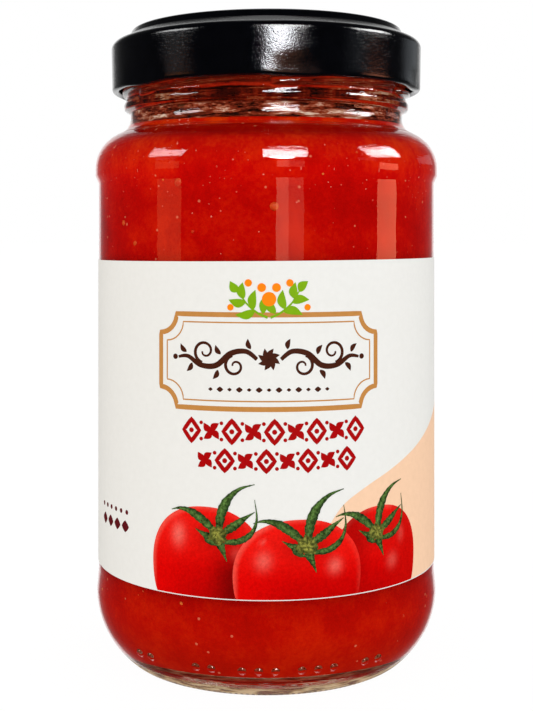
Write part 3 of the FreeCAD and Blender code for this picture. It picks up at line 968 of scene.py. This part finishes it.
SWELL = ((2.6, 0), (5.0, 1.7), (8.4, 1.2), (11.6, -1.4), (15.2, -1.4), (18.2, 0.4), (20.6, 0.2))
SCROLL_LEAVES = ((10.6, 1.0, 60), (11.2, -2.4, -60), (17.2, -1.0, -55), (18.6, 1.3, 50), (4.0, 2.2, 75))
SPRIG = ((0.3, -0.6), (2.6, 0.5), (5.0, 2.6), (6.6, 5.2))
SPRIG_LEAVES = ((1.4, 0.2, 112, 4.6), (3.0, 0.9, -12, 4.4), (3.4, 1.2, 96, 4.2), (5.0, 2.7, 8, 3.8),
                (5.6, 3.4, 88, 3.6), (6.5, 5.0, 48, 3.0))


def spiral(across, height, radius, start, turns, mirror):
    """A scroll that winds inwards from its outer end."""
    path = []
    count = max(12, round(abs(turns) / 12))
    for number in range(count + 1):
        share = number / count
        angle = math.radians(start + turns * share)
        reach = radius * (1 - 0.78 * share)
        path.append((across + mirror * math.cos(angle) * reach, height + math.sin(angle) * reach))
    return path


def print_ornament():
    tan = Ink("print_frame", 0, ink_material("tan ink", (0.52, 0.235, 0.062), (0.48, 0.21, 0.052)))
    tan.stroke(frame_path(0), 1.1, closed=True)
    tan.stroke(frame_path(1.7), 0.3, closed=True)
    tan.make()

    brown = Ink("print_scrolls", 0, ink_material("brown ink", (0.060, 0.014, 0.006), (0.050, 0.011, 0.005)))
    level = FRAME_HEIGHT + 0.6
    for mirror in (1, -1):
        brown.stroke(mirrored(SWELL, level, mirror), 1.25, taper=swelling)
        for place, up, reach, start, turns in ((7.4, -1.5, 2.4, 75, -430), (14.2, 1.6, 2.6, -75, 430)):
            scroll = spiral(FRAME_MIDDLE + mirror * place, level + up, reach, start, turns, mirror)
            brown.stroke(scroll, 0.75, taper=thinner)
        for place, up, turn in SCROLL_LEAVES:
            turned = turn if mirror > 0 else 180 - turn
            brown.leaf(FRAME_MIDDLE + mirror * place, level + up, 2.3, 1.1, turned)
        brown.disc(FRAME_MIDDLE + mirror * 21.4, level + 0.2, 0.6)
    for petal in range(8):
        brown.leaf(FRAME_MIDDLE, level, 2.5, 1.25, petal * 45 + 22.5)
    for number in range(-6, 7):
        size = 0.75 if number % 2 else 0.5
        brown.disc(FRAME_MIDDLE + number * 2.15, FRAME_HEIGHT - 6.0, size, size * 0.8, power=1.2)
    brown.make()

    green = Ink("print_leaves", 1, ink_material("leaf ink", (0.20, 0.40, 0.006), (0.18, 0.365, 0.005)))
    orange = Ink("print_berries", 2, ink_material("orange ink", (0.95, 0.235, 0.004), (0.90, 0.21, 0.004)))
    crown = FRAME_HEIGHT + FRAME_HALF_HEIGHT
    for mirror in (1, -1):
        green.stroke(mirrored(SPRIG, crown, mirror), 0.55, taper=thinner)
        for place, up, turn, length in SPRIG_LEAVES:
            turned = turn if mirror > 0 else 180 - turn
            green.leaf(FRAME_MIDDLE + mirror * place, crown + up, length, 1.9, turned)
        for place, up, size in ((1.6, 5.9, 0.95), (4.5, 6.9, 0.8), (8.4, 1.6, 0.7)):
            orange.disc(FRAME_MIDDLE + mirror * place, crown + up, size)
    orange.disc(FRAME_MIDDLE, crown + 3.4, 1.55)
    green.make()
    orange.make()


# Each band: middle, height, half width, shapes, half height, and 1 if it begins with leaves.
BANDS = ((1.8, 59.8, 20.9, 9, 2.45, 0), (2.3, 53.5, 18.2, 8, 2.25, 1))


def print_borders():
    """Two dark red bands of ornament, and a small mark at the left side."""
    dark_red = ink_material("dark red ink", (0.385, 0.0016, 0.0022), (0.35, 0.0012, 0.0018))
    red = Ink("print_borders", 0, dark_red)
    for middle, level, half, count, high, leaves_first in BANDS:
        step = 2 * half / count
        for number in range(count):
            across = middle - half + step * (number + 0.5)
            if (number + leaves_first) % 2:
                for turn in (0, 90, 180, 270):
                    red.leaf(across, level, high, 1.5, turn + 45)
            else:
                corners = [(across - step * 0.40, level), (across, level + high),
                           (across + step * 0.40, level), (across, level - high)]
                line = []
                for here, after in zip(corners, corners[1:] + corners[:1]):
                    line += [between(here, after, piece / 5) for piece in range(5)]
                red.stroke(line, 0.95, closed=True)
                red.disc(across, level, 0.55)
            if number:
                red.disc(across - step / 2, level + high * 0.72, 0.42)
                red.disc(across - step / 2, level - high * 0.72, 0.42)
    red.make()
    plum = Ink("print_side_mark", 0, ink_material("plum ink", (0.115, 0.006, 0.010), (0.10, 0.005, 0.008)))
    for number in range(6):
        plum.disc(-48.4 + number * 2.45, 39.2, 0.55)
    for number in range(4):
        plum.disc(-47.6 + number * 3.6, 35.9, 1.45, 1.35, power=1.25)
    plum.make()


def make_print():
    print_field()
    for number in range(len(FRUITS)):
        print_fruit(number)
        print_sepals(number)
    print_ornament()
    print_borders()


# ---------------------------------------------------------------- studio

EYE_DISTANCE, EYE_HEIGHT = 303.4, 101.8


def make_camera():
    data = bpy.data.cameras.new("camera")
    data.lens = 61.5
    data.sensor_width = 36.0
    data.shift_x = 0.0003
    data.shift_y = -0.166
    data.clip_start = 0.01
    camera = bpy.data.objects.new("camera", data)
    camera.location = (0, -EYE_DISTANCE * MM, EYE_HEIGHT * MM)
    camera.rotation_euler = (math.radians(90), 0, 0)
    bpy.context.scene.collection.objects.link(camera)
    bpy.context.scene.camera = camera


LAMP_DISTANCE, LAMP_CENTRE = 2.0, 0.11


def lamp(name, azimuths, heights, radiance, colour=(1, 1, 1), fill=False):
    """A soft box that fills a range of angles round the jar and above the horizon, as seen from the jar.

    A fill lights matt surfaces alone, and any other lamp is seen in glossy ones alone."""
    middle = math.radians(sum(azimuths) / 2)
    raised = math.radians(sum(heights) / 2)
    width = 2 * LAMP_DISTANCE * math.tan(math.radians(azimuths[1] - azimuths[0]) / 2) * math.cos(raised)
    height = 2 * LAMP_DISTANCE * math.tan(math.radians(heights[1] - heights[0]) / 2)
    data = bpy.data.lights.new(name, "AREA")
    data.shape = "RECTANGLE"
    data.size, data.size_y = width, height
    data.energy = 4 * width * height * radiance
    data.color = colour
    box = bpy.data.objects.new(name, data)
    level = math.cos(raised)
    place = Vector((math.sin(middle) * level, -math.cos(middle) * level, math.sin(raised)))
    box.location = Vector((0, 0, LAMP_CENTRE)) + place * LAMP_DISTANCE
    box.rotation_euler = place.to_track_quat("Z", "Y").to_euler()
    box.visible_camera = False
    box.visible_transmission = False
    box.visible_glossy = not fill
    box.visible_diffuse = fill
    bpy.context.scene.collection.objects.link(box)


# How bright the white surround looks in the glass, from straight behind the jar (0) to the front (180).
SURROUND = ((0, 1.0), (22, 1.0), (27, 0.28), (36, 0.12), (46, 0.05), (60, 0.03), (90, 0.02), (180, 0.01))
AMBIENT = 0.82


def make_world():
    """White to the eye and through glass, soft light on matt surfaces, and a white wall behind for gloss."""
    world = bpy.data.worlds.new("studio")
    bpy.context.scene.world = world
    world.use_nodes = True
    tree = world.node_tree
    tree.nodes.clear()
    direction = add(tree, "TexCoord").outputs["Generated"]
    parts = add(tree, "SeparateXYZ", Vector=direction)
    turned = maths(tree, "ARCTAN2", maths(tree, "ABSOLUTE", parts.outputs["X"]), parts.outputs["Y"])
    wall = ramp(tree, maths(tree, "DIVIDE", turned, math.pi),
                [(angle / 180, (level, level, level)) for angle, level in SURROUND])
    path = add(tree, "LightPath")
    plain = maths(tree, "MULTIPLY_ADD", path.outputs["Is Diffuse Ray"], AMBIENT - 1.0, 1.0)
    strength = add(tree, "Mix", {"data_type": "FLOAT"}, i0=path.outputs["Is Glossy Ray"], i2=plain, i3=wall)
    light = add(tree, "Background", Color=(1, 1, 1, 1), Strength=strength.outputs[0])
    add(tree, "OutputWorld", Surface=light.outputs[0])


def make_floor():
    material, tree = new_material("pale floor")
    glow = add(tree, "Emission", Color=(1, 1, 1, 1), Strength=0.97)
    matt = add(tree, "BsdfDiffuse", Color=(0.04, 0.04, 0.04, 1))
    finish_material(material, add(tree, "AddShader", i0=glow.outputs[0], i1=matt.outputs[0]))
    floor = turned_piece("floor", [(0, 0), (50, 0), (400, 0), (20000, 0)], even_angles(48), material)
    floor.location.z = -0.00002
    floor.visible_glossy = False


# Name, azimuths, heights above the horizon, radiance and colour.
LAMPS = (
    ("middle_low", (6.2, 24), (-5, 3.8), 0.85, (1, 0.46, 0.31)),
    ("middle_low_core", (6.2, 14), (-5, 3.8), 1.15, (1, 0.5, 0.33)),
    ("middle_window", (2.5, 17), (6.2, 11.2), 42, (0.93, 0.95, 1.0)),
    ("middle_high", (-2, 27), (12, 33), 16),
    ("right_low", (77, 95), (-5, 3.6), 3.6, (1, 0.33, 0.18)),
    ("right_middle", (60, 76), (6, 12), 0.19, (0.85, 0.92, 1.0)),
    ("right_high", (70, 100), (14.5, 33), 14),
    ("right_rim", (119, 145), (5, 13), 0.25, (0.85, 0.93, 1.0)),
    ("left_low", (-76, -57), (-5, 3.8), 0.8, (1, 0.36, 0.14)),
    ("left_middle", (-76, -60), (6, 12), 0.27, (0.88, 0.94, 1.0)),
    ("left_high", (-84, -56), (15, 30), 7),
)


def make_studio():
    make_world()
    make_floor()
    lamp("fill_front", (-40, 40), (-10, 50), 0.52, fill=True)
    lamp("fill_left", (-95, -55), (0, 40), 0.39, (1.0, 0.63, 0.20), fill=True)
    lamp("fill_right", (55, 95), (0, 40), 0.58, fill=True)
    for row in LAMPS:
        lamp(*row)
    bpy.context.scene.view_settings.view_transform = "Standard"


make_camera()
make_glass()
make_contents()
make_smear()
make_flecks()
make_cap()
make_label()
make_print()
make_studio()
